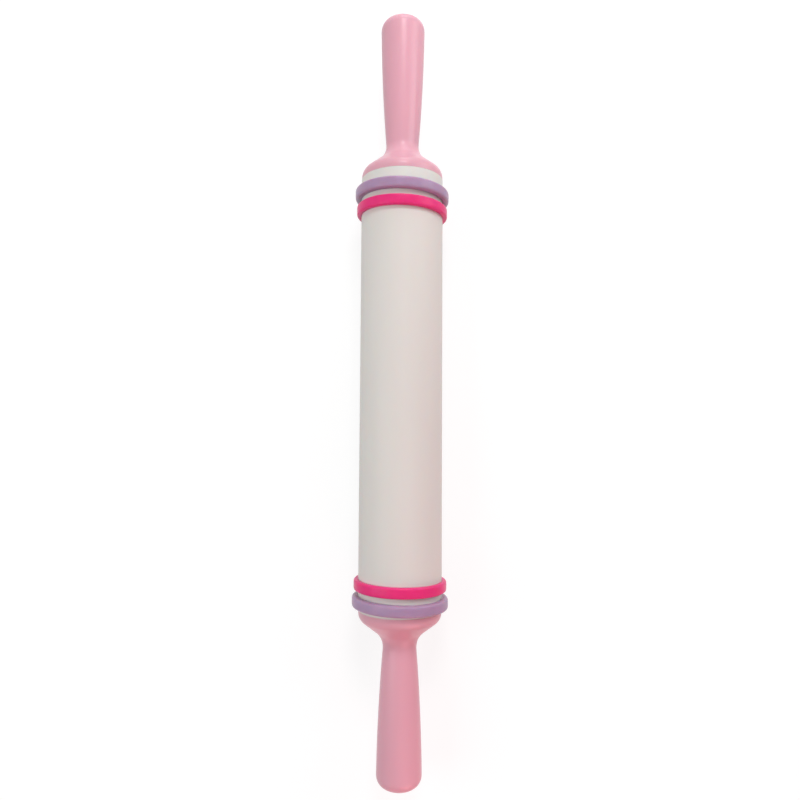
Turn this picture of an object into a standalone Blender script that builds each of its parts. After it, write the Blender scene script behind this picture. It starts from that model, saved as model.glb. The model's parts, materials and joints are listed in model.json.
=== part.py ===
"""Adjustable rolling pin: a tube that spins on a steel rod between two plastic handles,
with a thin and a thick guide ring near each end of the barrel.

Metres, +Z up. The pin lies along X with its spin axis on the X axis and its middle at the origin.
Every piece is turned about X. An end piece is drawn once, with x = 0 at the barrel's end and +x
outwards, and is then placed at both ends, the left one turned half round about Z.
"""
import math

import bmesh
import bpy
from mathutils import Matrix, Vector

# Barrel
BARREL_LENGTH = 0.1878
BARREL_RADIUS = 0.018
BARREL_WALL = 0.0025
BARREL_EDGE = 0.0004

# Fits
FIT_GAP = 0.0003
OVERRUN = 0.0005
MERGE_DISTANCE = 0.000001

# Steel rod that carries both handles
ROD_RADIUS = 0.003
ROD_TAIL_RADIUS = 0.0025
ROD_TAIL = 0.013
ROD_CHAMFER = 0.0005
GROOVE_DEPTH = 0.0009

# End cap pressed into each end of the tube
CAP_RECESS = 0.0005
CAP_LENGTH = 0.012
CAP_FACE = 0.0025
CAP_SKIRT = 0.0016
CAP_HUB_WALL = 0.0023
CAP_HUB_EXTRA = 0.002
CAP_RIB = 0.0016
CAP_RIB_DEPTH = 0.006

# Flanged bush in the cap's hub, thrust washer and retaining clip
BUSH_WALL = 0.0017
BUSH_FLANGE = 0.001
BUSH_FLANGE_RIM = 0.002
WASHER_RIM = 0.0032
WASHER_THICKNESS = 0.0008
CLIP_THICKNESS = 0.0007
CLIP_WEB_CLEARANCE = 0.0008
CLIP_BAND = 0.0018
CLIP_ROOM = 0.001
CLIP_MOUTH = math.radians(96)
CLIP_PRONG = math.radians(22)
CLIP_STEP = math.radians(8)

# Threaded insert in the handle's socket
INSERT_LENGTH = 0.0135
INSERT_WALL = 0.0017
INSERT_KNURL = 0.00035
INSERT_WAIST = 0.003
INSERT_TEETH = 16

# Handle, from the dome's rim to the rounded tip
RIM_STEP = 0.0001
RIM_EDGE = 0.0004
SHOULDER_REACH = 0.0035
SHOULDER_ROUND = 0.005
CONE_LENGTH = 0.0085
NECK_RADIUS = 0.0069
NECK_ROUND = 0.0085
GRIP_LENGTH = 0.0621
GRIP_RADIUS = 0.0098
GRIP_SWELL = 0.0006
TIP_ROUND = 0.005
TIP_CROWN = 0.0005

# Inside of the handle
DOME_WALL = 0.002
BOSS_WALL = 0.0028
DOME_RIB = 0.0016
DOME_RIB_SETBACK = 0.0014
CORE_RADIUS = 0.0042
CORE_DRAFT = 0.0005
CORE_END_WALL = 0.009

# Guide rings
THIN_RING_HEIGHT = 0.002
THIN_RING_WIDTH = 0.0046
THIN_RING_EDGE = 0.0009
THICK_RING_HEIGHT = 0.0027
THICK_RING_WIDTH = 0.0048
THICK_RING_EDGE = 0.0011
THICK_RING_FLAT = 0.0004
RING_BORE_EDGE = 0.0003
RIGHT_THICK_INSET = 0.005
RIGHT_RING_SPACE = 0.0025
LEFT_THICK_INSET = 0.0011
LEFT_RING_SPACE = 0.0025

# Counts. The large pieces' flats face straight up, down and sideways
LARGE_SIDES = 32
SMALL_SIDES = 24
RIB_COUNT = 8
GRIP_STEPS = 6
ROUND_STEPS = 6
EDGE_STEPS = 3
SHARP_ANGLE = math.radians(30)

# Colours as sRGB shares of full, with roughness and metallic value
PINK_SHARES = (0.90, 0.71, 0.76)
WHITE_SHARES = (0.87, 0.85, 0.83)
HOT_PINK_SHARES = (0.92, 0.24, 0.48)
LILAC_SHARES = (0.70, 0.57, 0.71)
NYLON_SHARES = (0.90, 0.88, 0.82)
STEEL_SHARES = (0.66, 0.67, 0.69)
BRASS_SHARES = (0.78, 0.62, 0.33)

# Sizes that follow from the ones above
HALF_BARREL = BARREL_LENGTH / 2
TUBE_BORE = BARREL_RADIUS - BARREL_WALL
BUSH_BORE = ROD_RADIUS + FIT_GAP
BUSH_RADIUS = BUSH_BORE + BUSH_WALL
HUB_BORE = BUSH_RADIUS + FIT_GAP
HUB_RADIUS = HUB_BORE + CAP_HUB_WALL
SKIRT_RADIUS = TUBE_BORE - FIT_GAP
SKIRT_BORE = SKIRT_RADIUS - CAP_SKIRT
GROOVE_RADIUS = ROD_RADIUS - GROOVE_DEPTH
CLIP_BORE = GROOVE_RADIUS + FIT_GAP
INSERT_BORE = ROD_TAIL_RADIUS + FIT_GAP
INSERT_RADIUS = INSERT_BORE + INSERT_WALL
SOCKET_RADIUS = INSERT_RADIUS + FIT_GAP
BOSS_RADIUS = SOCKET_RADIUS + BOSS_WALL
RIM_RADIUS = BARREL_RADIUS - RIM_STEP
RING_BORE = BARREL_RADIUS + FIT_GAP

# Places along an end, measured outwards from the barrel's end
CAP_FACE_X = -CAP_RECESS
FLANGE_X = CAP_FACE_X + FIT_GAP
WASHER_X = FLANGE_X + BUSH_FLANGE + FIT_GAP
CLIP_X = WASHER_X + WASHER_THICKNESS + FIT_GAP
SOCKET_X = CLIP_X + CLIP_THICKNESS + CLIP_ROOM
INSERT_X = SOCKET_X + FIT_GAP
SOCKET_END_X = INSERT_X + INSERT_LENGTH + FIT_GAP
RIM_X = FIT_GAP
NECK_X = SHOULDER_REACH + CONE_LENGTH
TIP_X = NECK_X + GRIP_LENGTH
CORE_END_X = TIP_X - CORE_END_WALL
CONE_FALL = (RIM_RADIUS - NECK_RADIUS) / CONE_LENGTH


def clear_scene():
    for thing in list(bpy.data.objects):
        bpy.data.objects.remove(thing, do_unlink=True)


def linear(share):
    """One sRGB share as the linear value that a shader takes."""
    if share <= 0.04045:
        return share / 12.92
    return ((share + 0.055) / 1.055) ** 2.4


def make_material(name, shares, roughness, metallic=0.0):
    material = bpy.data.materials.new(name)
    material.use_nodes = True
    shader = material.node_tree.nodes["Principled BSDF"]
    shader.inputs["Base Color"].default_value = [linear(share) for share in shares] + [1.0]
    shader.inputs["Roughness"].default_value = roughness
    shader.inputs["Metallic"].default_value = metallic
    return material


def rounded_outline(corners, steps):
    """Outline points from corners (x, radius, rounding), with an arc in place of each rounded one."""
    points = []
    count = len(corners)
    for index, (x, radius, rounding) in enumerate(corners):
        corner = Vector((x, radius))
        if not rounding:
            points.append(corner)
            continue
        back = (Vector(corners[index - 1][:2]) - corner).normalized()
        ahead = (Vector(corners[(index + 1) % count][:2]) - corner).normalized()
        half_angle = back.angle(ahead) / 2
        centre = corner + (back + ahead).normalized() * rounding / math.sin(half_angle)
        spoke = corner + back * rounding / math.tan(half_angle) - centre
        side = math.copysign(1, ahead.x * back.y - ahead.y * back.x)
        sweep = side * (math.pi - 2 * half_angle)
        for step in range(steps + 1):
            points.append(centre + Matrix.Rotation(sweep * step / steps, 2) @ spoke)
    return points


def finish_mesh(name, shape):
    bmesh.ops.remove_doubles(shape, verts=shape.verts, dist=MERGE_DISTANCE)
    bmesh.ops.recalc_face_normals(shape, faces=shape.faces)
    mesh = bpy.data.meshes.new(name)
    shape.to_mesh(mesh)
    shape.free()
    mesh.shade_smooth()
    mesh.set_sharp_from_angle(angle=SHARP_ANGLE)
    return mesh


def turn(name, outline, sides, closed):
    """Solid turned about X. The radii are those of its flats, one of which faces straight down."""
    half_side = math.pi / sides
    stretch = 1 / math.cos(half_side)
    shape = bmesh.new()
    start = Matrix.Rotation(half_side, 4, "X")
    row = [shape.verts.new(start @ Vector((point.x, 0, point.y * stretch))) for point in outline]
    edges = [shape.edges.new(pair) for pair in zip(row, row[1:])]
    if closed:
        edges.append(shape.edges.new((row[-1], row[0])))
    bmesh.ops.spin(shape, geom=row + edges, cent=(0, 0, 0), axis=(1, 0, 0),
                   angle=2 * math.pi, steps=sides)
    return finish_mesh(name, shape)


def place(name, mesh, material, parent, x=0.0, left=False):
    thing = bpy.data.objects.new(name, mesh)
    if not mesh.materials:
        mesh.materials.append(material)
    thing.location = (x, 0, 0)
    if left:
        thing.rotation_euler = (0, 0, math.pi)
    thing.parent = parent
    bpy.context.collection.objects.link(thing)
    return thing


def place_both(name, mesh, material, parent):
    """The same piece at the barrel's right and left ends."""
    right = place(name + "_right", mesh, material, parent, HALF_BARREL)
    left = place(name + "_left", mesh, material, parent, -HALF_BARREL, left=True)
    return right, left


def make_empty(name):
    empty = bpy.data.objects.new(name, None)
    bpy.context.collection.objects.link(empty)
    return empty


def rib_guide(name, outline, thickness):
    """Flat ribs of one outline (x, radius) spread evenly round X, as one hidden guide."""
    shape = bmesh.new()
    for rib in range(RIB_COUNT):
        turned = Matrix.Rotation(2 * math.pi * rib / RIB_COUNT, 4, "X")
        near = [shape.verts.new(turned @ Vector((x, -thickness / 2, radius))) for x, radius in outline]
        face = shape.faces.new(near)
        grown = bmesh.ops.extrude_face_region(shape, geom=[face])
        moved = [item for item in grown["geom"] if isinstance(item, bmesh.types.BMVert)]
        bmesh.ops.translate(shape, verts=moved, vec=turned @ Vector((0, thickness, 0)))
    guide = bpy.data.objects.new(name, finish_mesh(name, shape))
    bpy.context.collection.objects.link(guide)
    guide.hide_render = True
    guide.display_type = "WIRE"
    return guide


def join_ribs(thing, guide):
    guide.matrix_world = thing.matrix_basis
    union = thing.modifiers.new("ribs", "BOOLEAN")
    union.operation = "UNION"
    union.solver = "EXACT"
    union.object = guide


def barrel_tube(parent, material):
    corners = [
        (-HALF_BARREL, TUBE_BORE, 0),
        (-HALF_BARREL, BARREL_RADIUS, BARREL_EDGE),
        (HALF_BARREL, BARREL_RADIUS, BARREL_EDGE),
        (HALF_BARREL, TUBE_BORE, 0),
    ]
    mesh = turn("barrel_tube", rounded_outline(corners, EDGE_STEPS), LARGE_SIDES, closed=True)
    place("barrel_tube", mesh, material, parent)


def end_caps(parent, material):
    """Skirt, face and hub in one moulding, with ribs between the skirt and the hub."""
    skirt_end = CAP_FACE_X - CAP_LENGTH
    hub_end = skirt_end - CAP_HUB_EXTRA
    back = CAP_FACE_X - CAP_FACE
    outline = [
        Vector((CAP_FACE_X, HUB_BORE)),
        Vector((hub_end, HUB_BORE)),
        Vector((hub_end, HUB_RADIUS)),
        Vector((back, HUB_RADIUS)),
        Vector((back, SKIRT_BORE)),
        Vector((skirt_end, SKIRT_BORE)),
        Vector((skirt_end, SKIRT_RADIUS)),
        Vector((CAP_FACE_X, SKIRT_RADIUS)),
    ]
    mesh = turn("end_cap", outline, LARGE_SIDES, closed=True)
    rib_end = back - CAP_RIB_DEPTH
    rib = [
        (back + OVERRUN, HUB_RADIUS - OVERRUN),
        (back + OVERRUN, SKIRT_BORE + OVERRUN),
        (rib_end, SKIRT_BORE + OVERRUN),
        (rib_end, HUB_RADIUS - OVERRUN),
    ]
    for cap in place_both("end_cap", mesh, material, parent):
        join_ribs(cap, rib_guide(cap.name + "_ribs", rib, CAP_RIB))


def bushes(parent, material):
    inner_end = CAP_FACE_X - CAP_LENGTH
    flange_end = FLANGE_X + BUSH_FLANGE
    flange_radius = BUSH_RADIUS + BUSH_FLANGE_RIM
    outline = [
        Vector((flange_end, BUSH_BORE)),
        Vector((inner_end, BUSH_BORE)),
        Vector((inner_end, BUSH_RADIUS)),
        Vector((FLANGE_X, BUSH_RADIUS)),
        Vector((FLANGE_X, flange_radius)),
        Vector((flange_end, flange_radius)),
    ]
    mesh = turn("bearing_bush", outline, SMALL_SIDES, closed=True)
    place_both("bearing_bush", mesh, material, parent)


def axle_rod(parent, material):
    """Steel rod with a clip groove near each end and a turned-down, chamfered tail."""
    shoulder = HALF_BARREL + SOCKET_X
    tail_end = shoulder + ROD_TAIL
    groove_start = HALF_BARREL + CLIP_X - FIT_GAP
    groove_end = HALF_BARREL + CLIP_X + CLIP_THICKNESS + FIT_GAP
    half = [
        (groove_start, ROD_RADIUS),
        (groove_start, GROOVE_RADIUS),
        (groove_end, GROOVE_RADIUS),
        (groove_end, ROD_RADIUS),
        (shoulder, ROD_RADIUS),
        (shoulder, ROD_TAIL_RADIUS),
        (tail_end - ROD_CHAMFER, ROD_TAIL_RADIUS),
        (tail_end, ROD_TAIL_RADIUS - ROD_CHAMFER),
        (tail_end, 0),
    ]
    outline = [Vector((-x, radius)) for x, radius in reversed(half)]
    outline += [Vector(point) for point in half]
    mesh = turn("axle_rod", outline, SMALL_SIDES, closed=False)
    place("axle_rod", mesh, material, parent)


def thrust_washers(parent, material):
    outer = BUSH_BORE + WASHER_RIM
    outline = [
        Vector((WASHER_X, BUSH_BORE)),
        Vector((WASHER_X, outer)),
        Vector((WASHER_X + WASHER_THICKNESS, outer)),
        Vector((WASHER_X + WASHER_THICKNESS, BUSH_BORE)),
    ]
    mesh = turn("thrust_washer", outline, SMALL_SIDES, closed=True)
    place_both("thrust_washer", mesh, material, parent)


def retaining_clips(parent, material):
    """Open clip whose three prongs reach into the rod's groove, cut from flat strip."""
    web_bore = ROD_RADIUS + CLIP_WEB_CLEARANCE
    outer = web_bore + CLIP_BAND
    reach = math.pi - CLIP_MOUTH / 2
    prongs = (-reach + CLIP_PRONG / 2, 0, reach - CLIP_PRONG / 2)
    steps = round(2 * reach / CLIP_STEP)
    shape = bmesh.new()
    rails = []
    for step in range(steps + 1):
        angle = -reach + 2 * reach * step / steps
        on_prong = any(abs(angle - prong) <= CLIP_PRONG / 2 for prong in prongs)
        inner = CLIP_BORE if on_prong else web_bore
        spoke = Vector((0, math.sin(angle), -math.cos(angle)))
        lift = Vector((CLIP_X, 0, 0))
        rails.append([shape.verts.new(lift + spoke * radius) for radius in (inner, outer)])
    for near, far in zip(rails, rails[1:]):
        shape.faces.new((near[0], near[1], far[1], far[0]))
    grown = bmesh.ops.extrude_face_region(shape, geom=list(shape.faces))
    moved = [item for item in grown["geom"] if isinstance(item, bmesh.types.BMVert)]
    bmesh.ops.translate(shape, verts=moved, vec=(CLIP_THICKNESS, 0, 0))
    place_both("retaining_clip", finish_mesh("retaining_clip", shape), material, parent)


def threaded_inserts(parent, material):
    """Sleeve with two knurled bands and a smooth waist between them."""
    points = 2 * INSERT_TEETH
    waist_start = INSERT_X + (INSERT_LENGTH - INSERT_WAIST) / 2
    waist_end = waist_start + INSERT_WAIST
    insert_end = INSERT_X + INSERT_LENGTH
    root = INSERT_RADIUS - INSERT_KNURL
    stations = [
        (INSERT_X, INSERT_BORE, INSERT_BORE),
        (INSERT_X, INSERT_RADIUS, root),
        (waist_start, INSERT_RADIUS, root),
        (waist_start, root, root),
        (waist_end, root, root),
        (waist_end, INSERT_RADIUS, root),
        (insert_end, INSERT_RADIUS, root),
        (insert_end, INSERT_BORE, INSERT_BORE),
    ]
    shape = bmesh.new()
    loops = []
    for x, crest, valley in stations:
        loop = []
        for index in range(points):
            angle = 2 * math.pi * index / points
            radius = valley if index % 2 else crest
            loop.append(shape.verts.new((x, radius * math.sin(angle), radius * math.cos(angle))))
        loops.append(loop)
    for near, far in zip(loops, loops[1:] + loops[:1]):
        for index in range(points):
            after = (index + 1) % points
            shape.faces.new((near[index], near[after], far[after], far[index]))
    place_both("threaded_insert", finish_mesh("threaded_insert", shape), material, parent)


def grip_radius(share):
    """Radius of the grip at a share of its length, swelling a little over a straight taper."""
    taper = NECK_RADIUS + (GRIP_RADIUS - NECK_RADIUS) * share
    return taper + 4 * GRIP_SWELL * share * (1 - share)


def handle_outside():
    """Outline from the dome's rim over the shoulder, cone, neck and grip to the tip."""
    corners = [
        (RIM_X, RIM_RADIUS - DOME_WALL, 0),
        (RIM_X, RIM_RADIUS, RIM_EDGE),
        (SHOULDER_REACH, RIM_RADIUS, SHOULDER_ROUND),
        (NECK_X, NECK_RADIUS, NECK_ROUND),
    ]
    for step in range(1, GRIP_STEPS):
        share = step / GRIP_STEPS
        corners.append((NECK_X + GRIP_LENGTH * share, grip_radius(share), 0))
    corners.append((TIP_X - TIP_CROWN, GRIP_RADIUS, TIP_ROUND))
    corners.append((TIP_X, 0, 0))
    return rounded_outline(corners, ROUND_STEPS)


def dome_inside_x(radius):
    """Where the dome's inner cone, one wall inside the outer one, has this radius."""
    slant = math.sqrt(1 + CONE_FALL ** 2)
    return SHOULDER_REACH + (RIM_RADIUS - DOME_WALL * slant - radius) / CONE_FALL


def handle_inside():
    """Outline from the blind end of the core, along the socket and boss, to the dome's rim."""
    inner_radius = RIM_RADIUS - DOME_WALL
    return [
        Vector((CORE_END_X, 0)),
        Vector((CORE_END_X, CORE_RADIUS - CORE_DRAFT)),
        Vector((SOCKET_END_X, CORE_RADIUS)),
        Vector((SOCKET_END_X, SOCKET_RADIUS)),
        Vector((SOCKET_X, SOCKET_RADIUS)),
        Vector((SOCKET_X, BOSS_RADIUS)),
        Vector((dome_inside_x(BOSS_RADIUS), BOSS_RADIUS)),
        Vector((dome_inside_x(inner_radius), inner_radius)),
    ]


def handles(parent, material):
    """Hollow moulding: a dome with ribs round a central boss, and a cored grip."""
    outline = handle_inside() + handle_outside()
    mesh = turn("handle", outline, LARGE_SIDES, closed=False)
    boss_foot = BOSS_RADIUS - OVERRUN
    wall_foot = RIM_RADIUS - DOME_WALL + OVERRUN
    sunk = DOME_WALL / 2
    rib = [
        (SOCKET_X + OVERRUN, boss_foot),
        (RIM_X + DOME_RIB_SETBACK, wall_foot),
        (dome_inside_x(wall_foot) + sunk, wall_foot),
        (dome_inside_x(boss_foot) + sunk, boss_foot),
    ]
    for handle in place_both("handle", mesh, material, parent):
        join_ribs(handle, rib_guide(handle.name + "_ribs", rib, DOME_RIB))


def press_flat(mesh, depth):
    """Flatten the lowest part of a mesh, as an elastic ring is where it bears on a table."""
    lowest = min(vert.co.z for vert in mesh.vertices)
    shape = bmesh.new()
    shape.from_mesh(mesh)
    cut = bmesh.ops.bisect_plane(shape, geom=shape.verts[:] + shape.edges[:] + shape.faces[:],
                                 plane_co=(0, 0, lowest + depth), plane_no=(0, 0, -1), clear_outer=True)
    rim = [item for item in cut["geom_cut"] if isinstance(item, bmesh.types.BMEdge)]
    bmesh.ops.edgeloop_fill(shape, edges=rim)
    shape.to_mesh(mesh)
    shape.free()
    mesh.set_sharp_from_angle(angle=SHARP_ANGLE)


def guide_ring(name, height, width, edge, flat, x, material):
    """Band round the barrel, with its origin at its own middle on the barrel's axis."""
    outer = BARREL_RADIUS + height
    corners = [
        (-width / 2, RING_BORE, RING_BORE_EDGE),
        (-width / 2, outer, edge),
        (width / 2, outer, edge),
        (width / 2, RING_BORE, RING_BORE_EDGE),
    ]
    mesh = turn(name, rounded_outline(corners, EDGE_STEPS), LARGE_SIDES, closed=True)
    if flat:
        press_flat(mesh, flat)
    place(name, mesh, material, None, x)


def guide_rings(thin_material, thick_material):
    """A thick ring near the dome and a thin ring inside it, at each end of the barrel."""
    ends = (
        ("right", 1, RIGHT_THICK_INSET, RIGHT_RING_SPACE),
        ("left", -1, LEFT_THICK_INSET, LEFT_RING_SPACE),
    )
    for side, sign, inset, space in ends:
        thick_x = HALF_BARREL - inset - THICK_RING_WIDTH / 2
        thin_x = thick_x - (THICK_RING_WIDTH + THIN_RING_WIDTH) / 2 - space
        guide_ring("thick_ring_" + side, THICK_RING_HEIGHT, THICK_RING_WIDTH, THICK_RING_EDGE,
                   THICK_RING_FLAT, sign * thick_x, thick_material)
        guide_ring("thin_ring_" + side, THIN_RING_HEIGHT, THIN_RING_WIDTH, THIN_RING_EDGE,
                   0, sign * thin_x, thin_material)


def build():
    clear_scene()
    white = make_material("barrel_white", WHITE_SHARES, 0.42)
    pink = make_material("handle_pink", PINK_SHARES, 0.3)
    hot_pink = make_material("ring_pink", HOT_PINK_SHARES, 0.5)
    lilac = make_material("ring_lilac", LILAC_SHARES, 0.5)
    nylon = make_material("bush_nylon", NYLON_SHARES, 0.45)
    steel = make_material("rod_steel", STEEL_SHARES, 0.3, metallic=1.0)
    brass = make_material("insert_brass", BRASS_SHARES, 0.35, metallic=1.0)

    handle_frame = make_empty("handle_frame")
    barrel_pivot = make_empty("barrel_pivot")

    barrel_tube(barrel_pivot, white)
    end_caps(barrel_pivot, white)
    bushes(barrel_pivot, nylon)
    axle_rod(handle_frame, steel)
    thrust_washers(handle_frame, steel)
    retaining_clips(handle_frame, steel)
    threaded_inserts(handle_frame, brass)
    handles(handle_frame, pink)
    guide_rings(hot_pink, lilac)


build()
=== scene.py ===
"""Looks of the adjustable rolling pin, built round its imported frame.

The barrel, the handles and the guide rings are turned again as fine meshes on the frame's own sizes.
Every piece inside keeps its solid and gets a better surface. Metres: the pin lies along X with its
middle at the origin, and +Z points up out of the table that it lies on.
"""
import json
import math
from typing import NamedTuple

import bmesh
import bpy
from mathutils import Matrix, Vector


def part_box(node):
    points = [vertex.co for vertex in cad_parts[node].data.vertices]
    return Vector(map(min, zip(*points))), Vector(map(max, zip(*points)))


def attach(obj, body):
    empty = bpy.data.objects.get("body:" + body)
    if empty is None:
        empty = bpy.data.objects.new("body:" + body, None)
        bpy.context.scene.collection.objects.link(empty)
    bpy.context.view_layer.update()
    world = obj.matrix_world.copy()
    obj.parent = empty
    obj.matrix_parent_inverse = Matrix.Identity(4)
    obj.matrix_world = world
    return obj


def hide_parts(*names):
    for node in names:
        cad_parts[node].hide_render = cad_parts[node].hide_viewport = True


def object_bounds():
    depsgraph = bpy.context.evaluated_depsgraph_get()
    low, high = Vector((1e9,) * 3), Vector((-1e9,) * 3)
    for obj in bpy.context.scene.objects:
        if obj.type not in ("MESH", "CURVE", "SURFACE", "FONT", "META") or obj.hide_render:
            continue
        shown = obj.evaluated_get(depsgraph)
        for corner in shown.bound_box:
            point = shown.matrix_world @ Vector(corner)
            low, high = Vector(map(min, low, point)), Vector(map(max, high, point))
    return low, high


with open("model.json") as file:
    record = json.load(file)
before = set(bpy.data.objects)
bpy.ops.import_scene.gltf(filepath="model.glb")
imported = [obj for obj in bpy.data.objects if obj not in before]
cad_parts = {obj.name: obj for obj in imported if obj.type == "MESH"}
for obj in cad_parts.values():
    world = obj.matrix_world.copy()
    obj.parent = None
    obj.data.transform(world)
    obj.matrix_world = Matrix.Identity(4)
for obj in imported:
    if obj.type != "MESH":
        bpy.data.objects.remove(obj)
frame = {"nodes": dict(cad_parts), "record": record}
CAD_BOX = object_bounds()

# Fits: the gap between solids that touch, the finer seam shown between the barrel and the handles, and
# how far a rib runs into what it joins
FIT_GAP = 0.0003
SEAM_GAP = 0.00005
OVERRUN = 0.0005

# Sizes read from the frame. Places along an end are measured outwards from the barrel's end
HALF_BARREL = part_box("barrel_tube")[1].x
BARREL_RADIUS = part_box("barrel_tube")[1].z
TUBE_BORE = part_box("end_cap_right")[1].z + FIT_GAP
RIM_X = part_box("handle_right")[0].x - HALF_BARREL - FIT_GAP + SEAM_GAP
TIP_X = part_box("handle_right")[1].x - HALF_BARREL
RIM_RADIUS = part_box("handle_right")[1].z
SOCKET_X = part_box("threaded_insert_right")[0].x - FIT_GAP - HALF_BARREL
SOCKET_END_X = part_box("threaded_insert_right")[1].x + FIT_GAP - HALF_BARREL
SOCKET_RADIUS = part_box("threaded_insert_right")[1].z + FIT_GAP
TABLE_Z = CAD_BOX[0][2]

# Barrel and handle, as in the solids but with finer edges
BARREL_EDGE = 0.0001
RIM_EDGE = 0.0001
SHOULDER_REACH = 0.0035
SHOULDER_ROUND = 0.005
CONE_LENGTH = 0.0085
NECK_X = SHOULDER_REACH + CONE_LENGTH
NECK_RADIUS = 0.0069
NECK_ROUND = 0.0085
GRIP_RADIUS = 0.0098
GRIP_SWELL = 0.0006
TIP_ROUND = 0.005
TIP_CROWN = 0.0005
DOME_WALL = 0.002
BOSS_WALL = 0.0028
RIB_COUNT = 8
DOME_RIB = 0.0016
DOME_RIB_SETBACK = 0.0014
CORE_RADIUS = 0.0042
CORE_DRAFT = 0.0005
CORE_END_WALL = 0.009

# Where the grip's own points lie: past the neck's fillet, as a share of the grip's length, and short of
# the tip's rounding
FILLET_SHARE = 1 / 6
TIP_CLEARANCE = 1.3 * TIP_ROUND

# Guide rings: snug on the barrel, a little crowned, and each a little askew as an elastic ring sits
RING_SNUG_GAP = 0.00006
RING_BORE = BARREL_RADIUS + RING_SNUG_GAP
RING_BORE_EDGE = 0.0001
RING_CROWN = 0.00008
CROWN_SPREAD = 0.7
THIN_RING_EDGE = 0.0009
THICK_RING_EDGE = 0.0011
RING_TILTS = {
    "thin_ring_right": math.radians(1.6),
    "thick_ring_right": math.radians(1.9),
    "thin_ring_left": math.radians(0.9),
    "thick_ring_left": math.radians(1.4),
}

# Fineness of the meshes
SIDES = 144
GRIP_STEPS = 32
ROUND_STEPS = 14
EDGE_STEPS = 6
BARREL_SPANS = 24
CROWN_SPANS = 4
SHARP_ANGLE = math.radians(35)
MERGE_DISTANCE = 0.000001

# Noise: its detail, the middle part of its range that is spread out, and where in it one tone ends and
# the other starts
NOISE_DETAIL = 2.0
NOISE_LOW = 0.3
NOISE_HIGH = 0.7
TONE_LOW = 0.32
TONE_HIGH = 0.68

# How many times finer than the tone's grain the roughness and the worn edges vary
SHEEN_FINENESS = 3
WEAR_FINENESS = 8

# Worn edges, on the rings also painted paler as a highlight: how far in from an edge they reach, and how
# far its rounded normal leans where they start and where they are full, as the cosine. Noise leaves from
# the least share of them to the most
WEAR_REACH = 0.0006
WEAR_SAMPLES = 4
WEAR_STARTS = 0.995
WEAR_FULL = 0.93
WEAR_LEAST = 0.2
WEAR_MOST = 1.0

# The sRGB curve
SRGB_TOE = 0.04045
SRGB_TOE_SLOPE = 12.92
SRGB_OFFSET = 0.055
SRGB_POWER = 2.4

# Colours as sRGB shares of full
WHITE_SHARES = (0.885, 0.87, 0.85)
PINK_SHARES = (0.895, 0.66, 0.72)
HOT_PINK_SHARES = (0.93, 0.21, 0.50)
LILAC_SHARES = (0.68, 0.565, 0.695)
NYLON_SHARES = (0.90, 0.88, 0.82)
STEEL_SHARES = (0.66, 0.67, 0.69)
BRASS_SHARES = (0.78, 0.62, 0.33)
WORN_WHITE_SHARES = (0.86, 0.84, 0.81)
WORN_PINK_SHARES = (0.92, 0.72, 0.77)
# Ring edges, paler partly from wear and partly as a painted highlight where the edges catch the key light
WORN_AND_HIGHLIT_HOT_PINK_SHARES = (0.95, 0.54, 0.70)
WORN_AND_HIGHLIT_LILAC_SHARES = (0.79, 0.71, 0.80)
WORN_STEEL_SHARES = (0.76, 0.77, 0.79)
WORN_BRASS_SHARES = (0.86, 0.72, 0.44)
FLOOR_SHARES = (0.78, 0.78, 0.78)
FLOOR_BOUNCE_SHARES = (0.64, 0.64, 0.64)

# How noise is drawn out along X, Y and Z
EVEN = (1, 1, 1)
SWELLING = (2, 1, 1)
ALONG = (6, 1, 1)
DRAWN = (40, 1, 1)
RUBBED = (60, 1, 1)

# Camera, fitted to the photograph: its place, how it is turned and its lens on a 36 mm sensor
CAMERA_PLACE = (-0.02114, 0.00043, 0.29761)
CAMERA_PITCH = math.radians(3.348)
CAMERA_ROLL = math.radians(0.335)
CAMERA_LENS_MM = 30.608
SENSOR_MM = 36.0

# Surroundings: how strongly they light the pin, and how strongly they show
WORLD_COLOUR = (1, 1, 1, 1)
WORLD_STRENGTH = 0.26
WORLD_SHOWN_STRENGTH = 1.0

# Table: its radius, how much of the lamps' light and shadow shows on it, and its own glow, which goes
# from the lift near the pin to the far lift between the two reaches
FLOOR_REACH = 4.0
FLOOR_SHADOW_SHARE = 0.45
FLOOR_LIFT = 0.80
FLOOR_FAR_LIFT = 1.0
FLOOR_NEAR_REACH = 0.3
FLOOR_FAR_REACH = 1.2


class Lamp(NamedTuple):
    """A square soft light: its place, the point it looks at, its width, watts and colour."""
    name: str
    place: tuple
    aim: tuple
    width: float
    power: float
    tint: tuple = (1, 1, 1)


class Bump(NamedTuple):
    """One layer of fine relief: the size of its grain, how it is drawn out, and its depth."""
    grain: float
    stretch: tuple
    depth: float


class Finish(NamedTuple):
    """A material: colour, roughness, how far both drift, their grain, bumps, worn edges, on the rings also
    a painted highlight, and other sockets.
    """
    shares: tuple
    roughness: float
    drift: float
    tone_grain: float
    tone_stretch: tuple
    bumps: tuple
    wear_and_highlight_shares: tuple
    worn_roughness: float
    sockets: dict


LAMPS = (
    Lamp(name="key", place=(0.66, -0.05, 0.64), aim=(0.1, 0.0, 0.0), width=0.24, power=2.9),
    Lamp(name="low", place=(0.6, -0.05, 0.13), aim=(0.1, 0.0, 0.0), width=0.16, power=0.4),
    Lamp(name="side", place=(0.36, -0.52, 0.27), aim=(0.08, 0.0, 0.0), width=0.4, power=1.7),
    Lamp(name="fill", place=(-0.04, 0.48, 0.42), aim=(-0.06, 0.0, 0.0), width=0.45, power=1.65),
    Lamp(name="blush", place=(-0.48, -0.2, 0.17), aim=(-0.12, 0.0, 0.0), width=0.26, power=0.95,
         tint=(1, 0.38, 0.4)),
)

SILICONE_BUMPS = (
    Bump(grain=0.0012, stretch=EVEN, depth=0.000008),
    Bump(grain=0.0003, stretch=EVEN, depth=0.000002),
)

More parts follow.
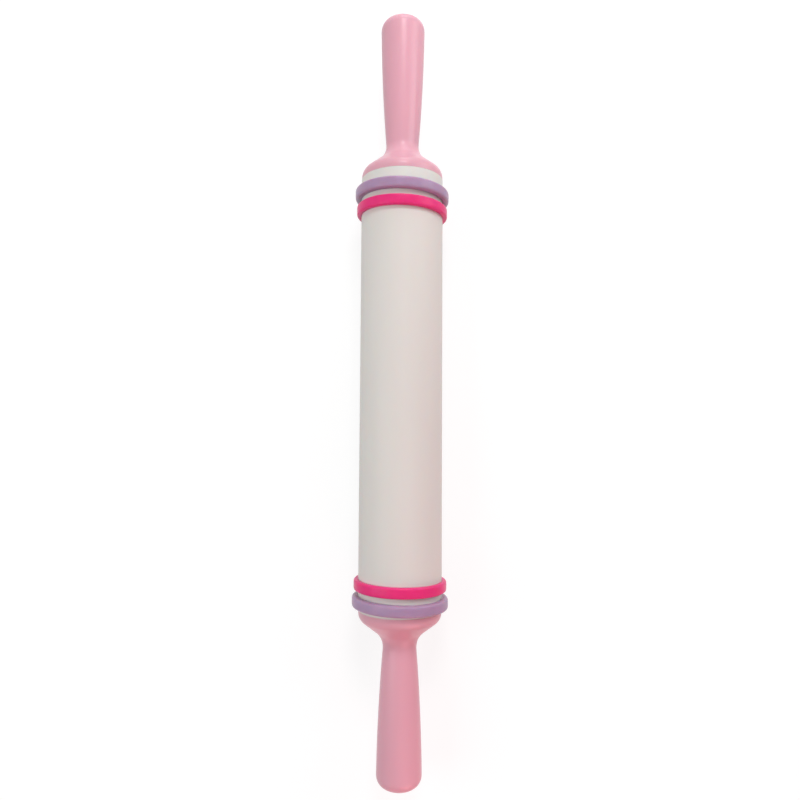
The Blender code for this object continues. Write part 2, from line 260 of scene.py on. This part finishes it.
# The material of each slot in the record
FINISHES = {
    "barrel_white": Finish(
        shares=WHITE_SHARES, roughness=0.40, drift=0.02, tone_grain=0.02, tone_stretch=ALONG,
        bumps=(
            Bump(grain=0.004, stretch=ALONG, depth=0.00001),
            Bump(grain=0.0006, stretch=RUBBED, depth=0.000001),
            Bump(grain=0.0004, stretch=EVEN, depth=0.0000015),
        ),
        wear_and_highlight_shares=WORN_WHITE_SHARES, worn_roughness=0.55,
        sockets={"Subsurface Weight": 0.15, "Subsurface Scale": 0.003, "Specular IOR Level": 0.13},
    ),
    "handle_pink": Finish(
        shares=PINK_SHARES, roughness=0.3, drift=0.025, tone_grain=0.012, tone_stretch=ALONG,
        bumps=(
            Bump(grain=0.005, stretch=SWELLING, depth=0.00002),
            Bump(grain=0.0005, stretch=EVEN, depth=0.0000015),
        ),
        wear_and_highlight_shares=WORN_PINK_SHARES, worn_roughness=0.45,
        sockets={"Subsurface Weight": 0.10, "Subsurface Scale": 0.002, "Specular IOR Level": 0.28},
    ),
    "ring_pink": Finish(
        shares=HOT_PINK_SHARES, roughness=0.32, drift=0.03, tone_grain=0.004, tone_stretch=EVEN,
        bumps=SILICONE_BUMPS,
        wear_and_highlight_shares=WORN_AND_HIGHLIT_HOT_PINK_SHARES, worn_roughness=0.45,
        sockets={"Subsurface Weight": 0.4, "Subsurface Scale": 0.004, "Specular IOR Level": 0.16},
    ),
    "ring_lilac": Finish(
        shares=LILAC_SHARES, roughness=0.32, drift=0.03, tone_grain=0.004, tone_stretch=EVEN,
        bumps=SILICONE_BUMPS,
        wear_and_highlight_shares=WORN_AND_HIGHLIT_LILAC_SHARES, worn_roughness=0.45,
        sockets={"Subsurface Weight": 0.4, "Subsurface Scale": 0.004, "Specular IOR Level": 0.24},
    ),
    "bush_nylon": Finish(
        shares=NYLON_SHARES, roughness=0.45, drift=0.03, tone_grain=0.003, tone_stretch=EVEN,
        bumps=(Bump(grain=0.0008, stretch=EVEN, depth=0.000004),),
        wear_and_highlight_shares=WORN_WHITE_SHARES, worn_roughness=0.55,
        sockets={"Subsurface Weight": 0.3, "Subsurface Scale": 0.002},
    ),
    "rod_steel": Finish(
        shares=STEEL_SHARES, roughness=0.28, drift=0.05, tone_grain=0.0008, tone_stretch=DRAWN,
        bumps=(Bump(grain=0.0002, stretch=RUBBED, depth=0.000002),),
        wear_and_highlight_shares=WORN_STEEL_SHARES, worn_roughness=0.18,
        sockets={"Metallic": 1.0},
    ),
    "insert_brass": Finish(
        shares=BRASS_SHARES, roughness=0.32, drift=0.06, tone_grain=0.0015, tone_stretch=EVEN,
        bumps=(Bump(grain=0.0003, stretch=EVEN, depth=0.000003),),
        wear_and_highlight_shares=WORN_BRASS_SHARES, worn_roughness=0.2,
        sockets={"Metallic": 1.0},
    ),
}


def linear(share):
    """One sRGB share as the linear value that a shader takes."""
    if share <= SRGB_TOE:
        return share / SRGB_TOE_SLOPE
    return ((share + SRGB_OFFSET) / (1 + SRGB_OFFSET)) ** SRGB_POWER


def colour(shares, level=1.0):
    """A shader's colour from sRGB shares, made lighter or darker by a level."""
    return [min(linear(share) * level, 1.0) for share in shares] + [1.0]


def rounded_outline(corners, steps):
    """Outline points from corners (x, radius, rounding), with an arc in place of each rounded one."""
    points = []
    count = len(corners)
    for index, (x, radius, rounding) in enumerate(corners):
        corner = Vector((x, radius))
        if not rounding:
            points.append(corner)
            continue
        back = (Vector(corners[index - 1][:2]) - corner).normalized()
        ahead = (Vector(corners[(index + 1) % count][:2]) - corner).normalized()
        half_angle = back.angle(ahead) / 2
        centre = corner + (back + ahead).normalized() * rounding / math.sin(half_angle)
        spoke = corner + back * rounding / math.tan(half_angle) - centre
        side = math.copysign(1, ahead.x * back.y - ahead.y * back.x)
        sweep = side * (math.pi - 2 * half_angle)
        for step in range(steps + 1):
            points.append(centre + Matrix.Rotation(sweep * step / steps, 2) @ spoke)
    return points


def finish_mesh(name, shape):
    """Mesh of a closed shape, smooth except along its sharp edges."""
    bmesh.ops.remove_doubles(shape, verts=shape.verts, dist=MERGE_DISTANCE)
    bmesh.ops.recalc_face_normals(shape, faces=shape.faces)
    mesh = bpy.data.meshes.new(name)
    shape.to_mesh(mesh)
    shape.free()
    mesh.shade_smooth()
    mesh.set_sharp_from_angle(angle=SHARP_ANGLE)
    return mesh


def turn(name, outline, closed):
    """Fine mesh turned about X from outline points (x, radius). A point on the axis is one vertex."""
    shape = bmesh.new()
    rows = []
    for point in outline:
        if point.y < MERGE_DISTANCE:
            rows.append([shape.verts.new((point.x, 0, 0))])
            continue
        row = []
        for side in range(SIDES):
            angle = 2 * math.pi * side / SIDES
            row.append(shape.verts.new((point.x, point.y * math.sin(angle), point.y * math.cos(angle))))
        rows.append(row)
    following = rows[1:] + rows[:1] if closed else rows[1:]
    for near, far in zip(rows, following):
        for side in range(SIDES):
            after = (side + 1) % SIDES
            loop = [near[side % len(near)], near[after % len(near)],
                    far[after % len(far)], far[side % len(far)]]
            shape.faces.new(list(dict.fromkeys(loop)))
    return finish_mesh(name, shape)


def add_piece(name, mesh, material, body, node):
    """A shown piece that stands for a node of the frame and moves with a body."""
    piece = bpy.data.objects.new(name, mesh)
    bpy.context.collection.objects.link(piece)
    mesh.materials.clear()
    mesh.materials.append(material)
    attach(piece, body)
    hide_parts(node)
    return piece


def barrel_outline():
    """Tube with rounded end edges, and spans along its outside that keep the faces short."""
    corners = [
        (-HALF_BARREL, TUBE_BORE, 0),
        (-HALF_BARREL, BARREL_RADIUS, BARREL_EDGE),
    ]
    for span in range(1, BARREL_SPANS):
        corners.append((HALF_BARREL * (2 * span / BARREL_SPANS - 1), BARREL_RADIUS, 0))
    corners.append((HALF_BARREL, BARREL_RADIUS, BARREL_EDGE))
    corners.append((HALF_BARREL, TUBE_BORE, 0))
    return rounded_outline(corners, EDGE_STEPS)


def grip_radius(share):
    """Radius of the grip at a share of its length: a straight taper and a swell, full halfway along."""
    taper = NECK_RADIUS + (GRIP_RADIUS - NECK_RADIUS) * share
    return taper + 4 * GRIP_SWELL * share * (1 - share)


def handle_outside():
    """Outline from the dome's rim over the shoulder, the cone and the neck, and along the grip."""
    corners = [
        (RIM_X, RIM_RADIUS - DOME_WALL, 0),
        (RIM_X, RIM_RADIUS, RIM_EDGE),
        (SHOULDER_REACH, RIM_RADIUS, SHOULDER_ROUND),
        (NECK_X, NECK_RADIUS, NECK_ROUND),
    ]
    first_step = math.ceil(GRIP_STEPS * FILLET_SHARE)
    for step in range(first_step, GRIP_STEPS):
        share = step / GRIP_STEPS
        corners.append((NECK_X + (TIP_X - NECK_X) * share, grip_radius(share), 0))
    return corners


def dome_inside_x(radius):
    """Where the dome's inner cone, one wall inside the outer one, has this radius."""
    fall = (RIM_RADIUS - NECK_RADIUS) / (NECK_X - SHOULDER_REACH)
    slant = math.sqrt(1 + fall ** 2)
    return SHOULDER_REACH + (RIM_RADIUS - DOME_WALL * slant - radius) / fall


def handle_outline():
    """Closed moulding: the blind core, the socket and its boss, the dome's inside, then the outside."""
    boss_radius = SOCKET_RADIUS + BOSS_WALL
    core_end = TIP_X - CORE_END_WALL
    inner_radius = RIM_RADIUS - DOME_WALL
    inside = [
        Vector((core_end, 0)),
        Vector((core_end, CORE_RADIUS - CORE_DRAFT)),
        Vector((SOCKET_END_X, CORE_RADIUS)),
        Vector((SOCKET_END_X, SOCKET_RADIUS)),
        Vector((SOCKET_X, SOCKET_RADIUS)),
        Vector((SOCKET_X, boss_radius)),
        Vector((dome_inside_x(boss_radius), boss_radius)),
        Vector((dome_inside_x(inner_radius), inner_radius)),
    ]
    outside = handle_outside()
    tip = [(TIP_X - TIP_CROWN, GRIP_RADIUS, TIP_ROUND), (TIP_X, 0, 0)]
    last_grip = len(outside)
    while outside[last_grip - 1][0] > TIP_X - TIP_CLEARANCE:
        last_grip -= 1
    return inside + rounded_outline(outside[:last_grip] + tip, ROUND_STEPS)


def add_ribs(piece):
    """Join flat ribs between the boss and the dome's wall to a handle's mesh."""
    boss_foot = SOCKET_RADIUS + BOSS_WALL - OVERRUN
    wall_foot = RIM_RADIUS - DOME_WALL + OVERRUN
    sunk = DOME_WALL / 2
    outline = [
        (SOCKET_X + OVERRUN, boss_foot),
        (RIM_X + DOME_RIB_SETBACK, wall_foot),
        (dome_inside_x(wall_foot) + sunk, wall_foot),
        (dome_inside_x(boss_foot) + sunk, boss_foot),
    ]
    shape = bmesh.new()
    for rib in range(RIB_COUNT):
        turned = Matrix.Rotation(2 * math.pi * rib / RIB_COUNT, 4, "X")
        near = [shape.verts.new(turned @ Vector((x, -DOME_RIB / 2, radius))) for x, radius in outline]
        grown = bmesh.ops.extrude_face_region(shape, geom=[shape.faces.new(near)])
        moved = [item for item in grown["geom"] if isinstance(item, bmesh.types.BMVert)]
        bmesh.ops.translate(shape, verts=moved, vec=turned @ Vector((0, DOME_RIB, 0)))
    guide = bpy.data.objects.new("rib_guide", finish_mesh("rib_guide", shape))
    bpy.context.collection.objects.link(guide)
    union = piece.modifiers.new("ribs", "BOOLEAN")
    union.operation = "UNION"
    union.solver = "EXACT"
    union.object = guide
    depsgraph = bpy.context.evaluated_depsgraph_get()
    joined = bpy.data.meshes.new_from_object(piece.evaluated_get(depsgraph))
    piece.modifiers.remove(union)
    piece.data = joined
    bpy.data.objects.remove(guide)


def guide_ring(name, edge, material, body):
    """Soft band that fills its node's place: crowned, round-edged, askew and flat where it bears."""
    low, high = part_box(name)
    middle = (low.x + high.x) / 2
    half = (high.x - low.x) / 2
    outer = high.y
    corners = [
        (-half, RING_BORE, RING_BORE_EDGE),
        (-half, outer - RING_CROWN, edge),
    ]
    for span in range(1, CROWN_SPANS):
        share = 2 * span / CROWN_SPANS - 1
        corners.append((half * share * CROWN_SPREAD, outer - RING_CROWN * share ** 2, 0))
    corners.append((half, outer - RING_CROWN, edge))
    corners.append((half, RING_BORE, RING_BORE_EDGE))
    mesh = turn(name + "_soft", rounded_outline(corners, EDGE_STEPS), closed=True)
    lean = math.tan(RING_TILTS[name])
    for vert in mesh.vertices:
        vert.co.x += middle + lean * vert.co.y
        vert.co.z = max(vert.co.z, low.z)
    add_piece(name + "_soft", mesh, material, body, name)


def add(tree, kind, inputs, **settings):
    """A new shader node, its inputs fed by other nodes' outputs or set to plain values."""
    made = tree.nodes.new(kind)
    for key, value in settings.items():
        setattr(made, key, value)
    for key, value in inputs.items():
        if isinstance(value, bpy.types.NodeSocket):
            tree.links.new(value, made.inputs[key])
        else:
            made.inputs[key].default_value = value
    return made


def noise(tree, grain, stretch=EVEN):
    """Noise with grains of one size in metres, drawn out along X, Y and Z by stretch."""
    place = add(tree, "ShaderNodeTexCoord", {})
    scale = [1 / (grain * share) for share in stretch]
    mapped = add(tree, "ShaderNodeMapping", {"Vector": place.outputs["Object"], "Scale": scale})
    made = add(tree, "ShaderNodeTexNoise", {
        "Vector": mapped.outputs["Vector"], "Scale": 1.0, "Detail": NOISE_DETAIL,
    })
    return made.outputs[0]


def ranged(tree, value, low, high):
    """The middle part of a noise spread between two values."""
    made = add(tree, "ShaderNodeMapRange", {
        "Value": value, "From Min": NOISE_LOW, "From Max": NOISE_HIGH, "To Min": low, "To Max": high,
    })
    return made.outputs["Result"]


def wear_and_highlight_edge(tree, grain):
    """One along outer and inner edges, broken up by noise, and zero away from them."""
    rounded = add(tree, "ShaderNodeBevel", {"Radius": WEAR_REACH}, samples=WEAR_SAMPLES)
    plain = add(tree, "ShaderNodeNewGeometry", {})
    lean = add(tree, "ShaderNodeVectorMath", {0: rounded.outputs["Normal"], 1: plain.outputs["Normal"]},
               operation="DOT_PRODUCT")
    edge = add(tree, "ShaderNodeMapRange", {
        "Value": lean.outputs["Value"], "From Min": WEAR_STARTS, "From Max": WEAR_FULL,
    })
    patchy = ranged(tree, noise(tree, grain), WEAR_LEAST, WEAR_MOST)
    worn = add(tree, "ShaderNodeMath", {0: edge.outputs["Result"], 1: patchy}, operation="MULTIPLY")
    return worn.outputs[0]


def blend_by(tree, kind, factor, near, far):
    """Two colours or two values mixed by a factor."""
    made = add(tree, "ShaderNodeMix", {}, data_type=kind)
    ends = [socket for socket in made.inputs if socket.enabled]
    for socket, value in zip(ends, (factor, near, far)):
        if isinstance(value, bpy.types.NodeSocket):
            tree.links.new(value, socket)
        else:
            socket.default_value = value
    return [socket for socket in made.outputs if socket.enabled][0]


def surface(name, finish):
    """Principled material: two close tones by noise, roughness that drifts, worn edges with a painted
    highlight on the rings, and fine bump.
    """
    material = bpy.data.materials.new(name)
    material.use_nodes = True
    tree = material.node_tree
    shader = tree.nodes["Principled BSDF"]
    grain = finish.tone_grain
    stretch = finish.tone_stretch
    drift = finish.drift
    tone = add(tree, "ShaderNodeValToRGB", {"Fac": noise(tree, grain, stretch)})
    near, far = tone.color_ramp.elements
    near.position = TONE_LOW
    far.position = TONE_HIGH
    near.color = colour(finish.shares, 1 - drift)
    far.color = colour(finish.shares, 1 + drift)
    sheen = ranged(tree, noise(tree, grain / SHEEN_FINENESS, stretch),
                   finish.roughness - drift, finish.roughness + drift)
    # Edges take their paler colour through this mask: wear, and on the rings also a painted highlight
    wear_and_highlight_mask = wear_and_highlight_edge(tree, grain / WEAR_FINENESS)
    shown_colour = blend_by(tree, "RGBA", wear_and_highlight_mask, tone.outputs["Color"], colour(finish.wear_and_highlight_shares))
    tree.links.new(shown_colour, shader.inputs["Base Color"])
    shown_roughness = blend_by(tree, "FLOAT", wear_and_highlight_mask, sheen, finish.worn_roughness)
    tree.links.new(shown_roughness, shader.inputs["Roughness"])
    normal = None
    for bump in finish.bumps:
        inputs = {"Height": noise(tree, bump.grain, bump.stretch), "Distance": bump.depth}
        if normal:
            inputs["Normal"] = normal
        normal = add(tree, "ShaderNodeBump", inputs).outputs["Normal"]
    tree.links.new(normal, shader.inputs["Normal"])
    for key, value in finish.sockets.items():
        shader.inputs[key].default_value = value
    return material


def build_pieces(materials):
    """The barrel, the handles and the rings as fine meshes in place of their nodes."""
    add_piece("barrel_skin", turn("barrel_skin", barrel_outline(), closed=True),
              materials["barrel_white"], "barrel", "barrel_tube")
    right_end = Matrix.Translation((HALF_BARREL, 0, 0))
    left_end = Matrix.Rotation(math.pi, 4, "Z") @ right_end
    for side, end in (("right", right_end), ("left", left_end)):
        mesh = turn("handle_moulding_" + side, handle_outline(), closed=False)
        piece = add_piece("handle_moulding_" + side, mesh, materials["handle_pink"],
                          "handles", "handle_" + side)
        add_ribs(piece)
        piece.data.transform(end)
    for side in ("right", "left"):
        guide_ring("thin_ring_" + side, THIN_RING_EDGE, materials["ring_pink"],
                   "ring_thin_" + side)
        guide_ring("thick_ring_" + side, THICK_RING_EDGE, materials["ring_lilac"],
                   "ring_thick_" + side)


def dress_nodes(materials):
    """Give each carried-over node the procedural material of its slot in the record."""
    for part in frame["record"]["subparts"]:
        mesh = frame["nodes"][part["node"]].data
        mesh.materials.clear()
        mesh.materials.append(materials[part["material_slot"]])


def add_lamp(lamp):
    """A lamp turned towards its aim, and itself unseen by the camera."""
    light = bpy.data.lights.new(lamp.name, "AREA")
    light.size = lamp.width
    light.energy = lamp.power
    light.color = lamp.tint
    holder = bpy.data.objects.new(lamp.name, light)
    holder.location = lamp.place
    towards = Vector(lamp.aim) - Vector(lamp.place)
    holder.rotation_euler = towards.to_track_quat("-Z", "Y").to_euler()
    holder.visible_camera = False
    bpy.context.collection.objects.link(holder)


def shown_white(tree):
    """One where a ray comes straight from the camera, off a gloss or through glass, otherwise zero."""
    path = add(tree, "ShaderNodeLightPath", {})
    near = add(tree, "ShaderNodeMath", {0: path.outputs["Is Camera Ray"], 1: path.outputs["Is Glossy Ray"]},
               operation="MAXIMUM")
    both = add(tree, "ShaderNodeMath", {0: near.outputs[0], 1: path.outputs["Is Transmission Ray"]},
               operation="MAXIMUM")
    return both.outputs[0]


def light_the_stage():
    """Surroundings that show white and light the pin more weakly, and the lamps."""
    world = bpy.data.worlds.new("studio")
    bpy.context.scene.world = world
    world.use_nodes = True
    tree = world.node_tree
    background = tree.nodes["Background"]
    background.inputs["Color"].default_value = WORLD_COLOUR
    level = add(tree, "ShaderNodeMapRange", {
        "Value": shown_white(tree), "To Min": WORLD_STRENGTH, "To Max": WORLD_SHOWN_STRENGTH,
    })
    tree.links.new(level.outputs["Result"], background.inputs["Strength"])
    for lamp in LAMPS:
        add_lamp(lamp)


def lay_floor():
    """Pale table that looks white, still shows the pin's shadow, and has no visible far edge."""
    shape = bmesh.new()
    bmesh.ops.create_circle(shape, cap_ends=True, segments=SIDES, radius=FLOOR_REACH)
    bmesh.ops.translate(shape, verts=shape.verts, vec=(0, 0, TABLE_Z))
    floor = bpy.data.objects.new("table", finish_mesh("table", shape))
    bpy.context.collection.objects.link(floor)
    material = bpy.data.materials.new("table_white")
    material.use_nodes = True
    tree = material.node_tree
    tree.nodes.clear()
    lit = add(tree, "ShaderNodeBsdfDiffuse", {"Color": colour(FLOOR_BOUNCE_SHARES)})
    dimmed = add(tree, "ShaderNodeBsdfDiffuse", {"Color": colour(FLOOR_SHARES, FLOOR_SHADOW_SHARE)})
    place = add(tree, "ShaderNodeTexCoord", {})
    away = add(tree, "ShaderNodeVectorMath", {0: place.outputs["Object"]}, operation="LENGTH")
    level = add(tree, "ShaderNodeMapRange", {
        "Value": away.outputs["Value"], "From Min": FLOOR_NEAR_REACH, "From Max": FLOOR_FAR_REACH,
        "To Min": FLOOR_LIFT, "To Max": FLOOR_FAR_LIFT,
    })
    lift = add(tree, "ShaderNodeEmission", {"Strength": level.outputs["Result"]})
    seen = add(tree, "ShaderNodeAddShader", {0: dimmed.outputs[0], 1: lift.outputs[0]})
    mixed = add(tree, "ShaderNodeMixShader", {0: shown_white(tree), 1: lit.outputs[0], 2: seen.outputs[0]})
    add(tree, "ShaderNodeOutputMaterial", {"Surface": mixed.outputs[0]})
    floor.data.materials.append(material)


def place_camera():
    """The photograph's view: from above, with +X up in the picture."""
    data = bpy.data.cameras.new("camera")
    data.sensor_width = SENSOR_MM
    data.sensor_fit = "HORIZONTAL"
    data.lens = CAMERA_LENS_MM
    camera = bpy.data.objects.new("camera", data)
    bpy.context.collection.objects.link(camera)
    upright = Matrix.Rotation(-math.pi / 2, 4, "Z")
    turned = Matrix.Rotation(CAMERA_PITCH, 4, "X") @ Matrix.Rotation(CAMERA_ROLL, 4, "Z")
    camera.matrix_world = Matrix.Translation(CAMERA_PLACE) @ upright @ turned
    bpy.context.scene.camera = camera


place_camera()
materials = {slot: surface(slot, finish) for slot, finish in FINISHES.items()}
build_pieces(materials)
dress_nodes(materials)
light_the_stage()
lay_floor()
bpy.context.scene.view_settings.view_transform = "Standard"
